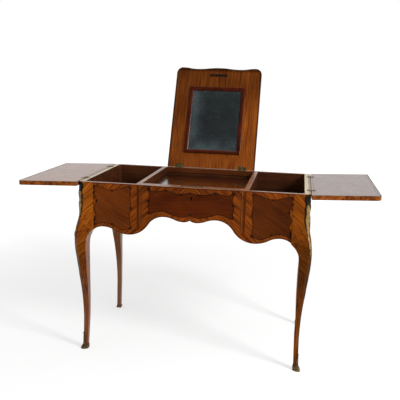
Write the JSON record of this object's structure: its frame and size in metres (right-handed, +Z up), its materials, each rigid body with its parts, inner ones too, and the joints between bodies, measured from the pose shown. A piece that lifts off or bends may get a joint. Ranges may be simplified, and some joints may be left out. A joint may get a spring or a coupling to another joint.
{
  "type": "poudreuse dressing table",
  "caption": "Period dressing table on cabriole legs with folding side flaps, rising mirror lid, two wells, a tray and a drawer under a scalloped apron.",
  "frame": {"origin": "on the floor, below the middle of the outline of the table as it stands open", "axes": "+X to the right as seen from the front, +Y to the back, +Z up"},
  "size_m": [1.4698, 0.7454, 1.2213],
  "materials": {
    "veneer": "polished",
    "top_veneer": "polished",
    "lid_veneer": "polished",
    "banding": "polished",
    "secondary": "satin",
    "tray_veneer": "polished",
    "moulding": "polished",
    "gilt": "satin",
    "hinge_brass": "satin",
    "lock_brass": "satin",
    "bolt_steel": "brushed",
    "mirror": "polished"
  },
  "bodies": {
    "case": {"back_panel": "tray_veneer", "back_shoes": "gilt", "corner_mount_left": "gilt", "corner_mount_right": "gilt", "drawer_runners": "secondary", "drawer_stops": "secondary", "flap_hinge_fixed_left": "hinge_brass", "flap_hinge_fixed_right": "hinge_brass", "front_panel_left": "veneer", "front_panel_right": "veneer", "hinge_rail": "tray_veneer", "leg_back_left": "veneer", "leg_back_right": "veneer", "leg_front_left": "veneer", "leg_front_right": "veneer", "lid_hinge_fixed": "hinge_brass", "partition_left": "tray_veneer", "partition_right": "tray_veneer", "sabot_left": "gilt", "sabot_right": "gilt", "side_panel_left": "veneer", "side_panel_right": "veneer", "tray_bottom": "tray_veneer", "tray_cleats": "secondary", "tray_front_rail": "tray_veneer", "well_bottom_left": "secondary", "well_bottom_right": "secondary", "well_cleats": "secondary"},
    "left_flap": {"flap_board_left": "top_veneer", "flap_hinge_moving_left": "hinge_brass", "flap_lipping_left": "banding"},
    "right_flap": {"flap_board_right": "top_veneer", "flap_hinge_moving_right": "hinge_brass", "flap_lipping_right": "banding"},
    "mirror_lid": {"lid_board": "lid_veneer", "lid_hinge_moving": "hinge_brass", "lid_lipping": "banding", "mirror_glass": "mirror", "mirror_moulding": "moulding", "strike_plate": "lock_brass"},
    "drawer": {"drawer_back": "secondary", "drawer_bottom": "secondary", "drawer_front": "veneer", "drawer_side_left": "secondary", "drawer_side_right": "secondary", "escutcheon": "lock_brass", "lock_case": "lock_brass"},
    "lock_bolt": {"lock_bolt": "bolt_steel"}
  },
  "joints": [
    {"name": "left_flap_hinge", "type": "hinge", "parent": "case", "child": "left_flap", "pos_m": [-0.47448, 0, 0.7452], "axis": [0, 1, 0], "range_deg": [0, 182.15]},
    {"name": "right_flap_hinge", "type": "hinge", "parent": "case", "child": "right_flap", "pos_m": [0.47372, 0, 0.7452], "axis": [0, -1, 0], "range_deg": [0, 177.36]},
    {"name": "mirror_lid_hinge", "type": "hinge", "parent": "case", "child": "mirror_lid", "pos_m": [0, 0.15189, 0.7452], "axis": [1, 0, 0], "range_deg": [0, 113.2]},
    {"name": "drawer_slide", "type": "slide", "parent": "case", "child": "drawer", "axis": [0, -1, 0], "range_m": [0, 0.3]},
    {"name": "lock_bolt_slide", "type": "slide", "parent": "drawer", "child": "lock_bolt", "axis": [0, 0, 1], "range_m": [0, 0.007]}
  ]
}
